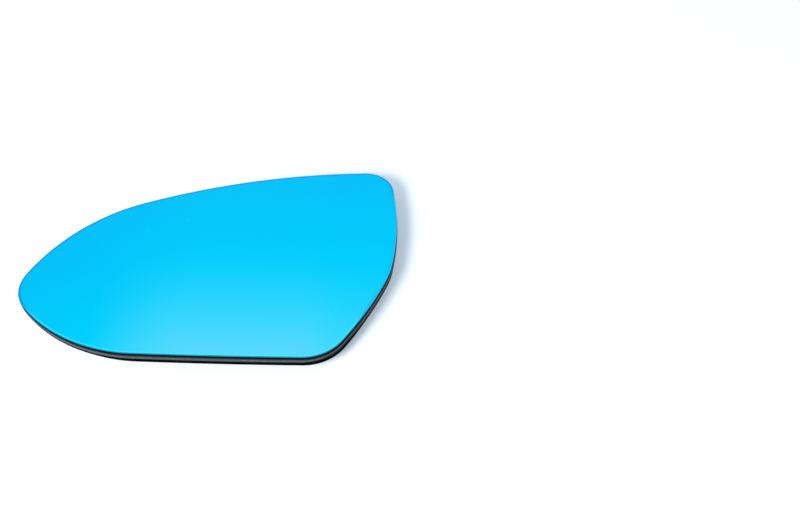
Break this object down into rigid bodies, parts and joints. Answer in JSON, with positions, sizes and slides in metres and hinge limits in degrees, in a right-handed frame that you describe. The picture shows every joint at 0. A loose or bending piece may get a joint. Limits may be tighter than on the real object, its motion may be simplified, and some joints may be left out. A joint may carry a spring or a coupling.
{
  "type": "car door mirror glass",
  "caption": "Convex blue car door mirror glass on a moulded plate with a snap ring and heater terminals at the rear.",
  "frame": {"origin": "on the axis of the snap ring behind the glass, in the plane where the claws' noses begin to be narrowest", "axes": "+X along the lower edge towards the car, with the pointed outer end at -X; +Y up the glass; +Z out of the reflecting face"},
  "size_m": [0.1902, 0.1259, 0.0155],
  "materials": {
    "blue_mirror": "polished blue reflecting coat",
    "heating_foil": "smooth printed foil",
    "black_plastic": "finely grained moulding",
    "sheet_brass": "rolled and stamped",
    "rivet_metal": "plain"
  },
  "bodies": {
    "root": {"mirror_glass": "blue_mirror", "heater_pad": "heating_foil", "backing_plate": "black_plastic", "terminal_upper": "sheet_brass", "terminal_lower": "sheet_brass", "rivet_upper": "rivet_metal", "rivet_lower": "rivet_metal"}
  },
  "joints": []
}
